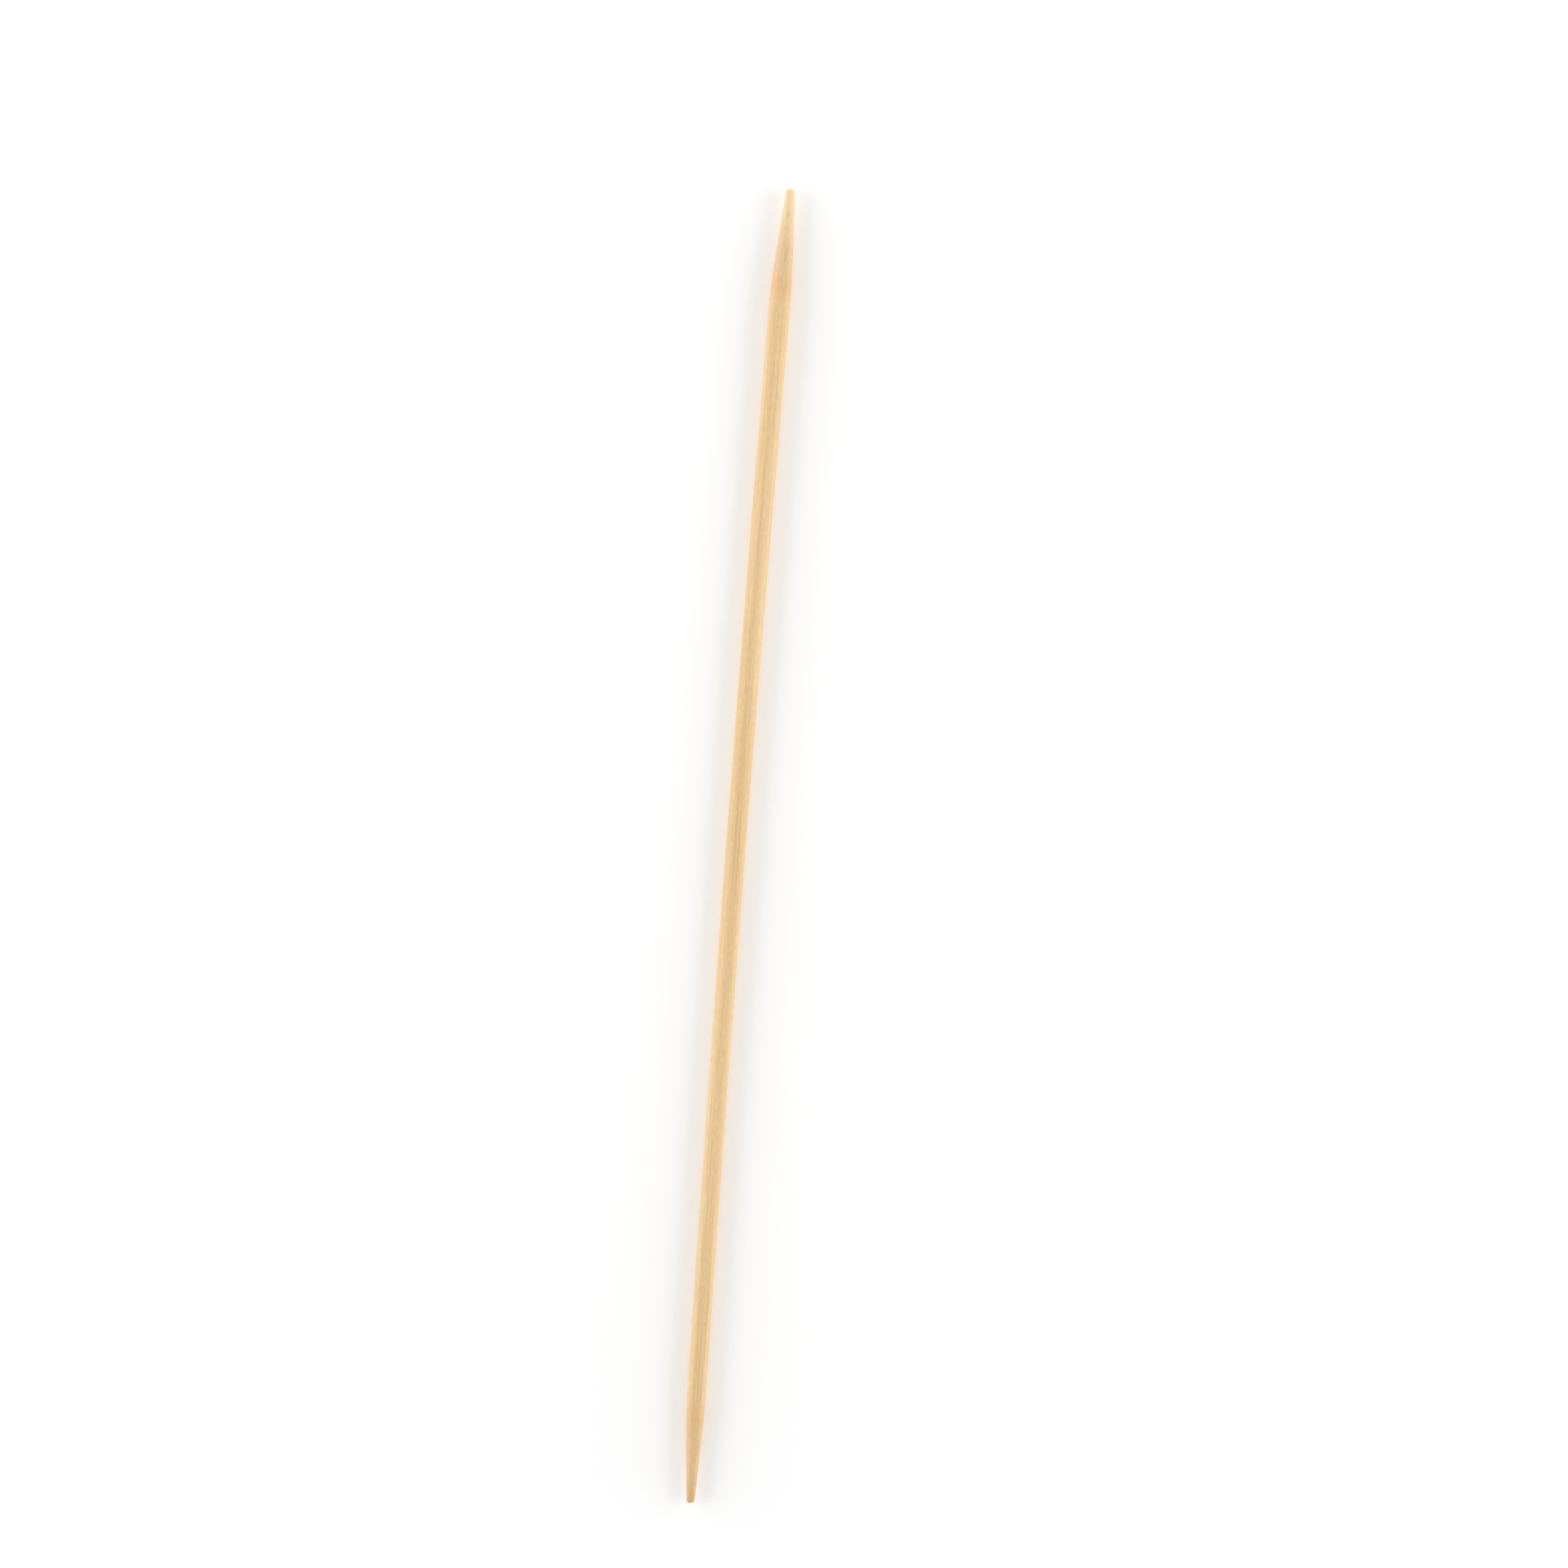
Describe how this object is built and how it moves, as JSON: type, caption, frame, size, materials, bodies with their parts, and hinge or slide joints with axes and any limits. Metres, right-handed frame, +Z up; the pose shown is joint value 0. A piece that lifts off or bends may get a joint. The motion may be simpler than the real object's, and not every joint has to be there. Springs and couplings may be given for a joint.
{
  "type": "bamboo stick",
  "caption": "Slim round bamboo stick with a long blunt point at each end, for skewering or holding food.",
  "frame": {"origin": "on the table, under the middle of the stick's bounding box", "axes": "+X along the stick towards its head, the slightly thicker end; +Y across it, to the side that its slight bow stands out to; +Z up from the table that it lies on"},
  "size_m": [0.3002, 0.005, 0.0047],
  "materials": {
    "bamboo": "pale dry bamboo, drawn round and left bare: satin along the shaft with fine lengthwise fibres, matte on the two shaved points and the sawn ends"
  },
  "bodies": {
    "root": {"bamboo_stick": "bamboo"}
  },
  "joints": []
}
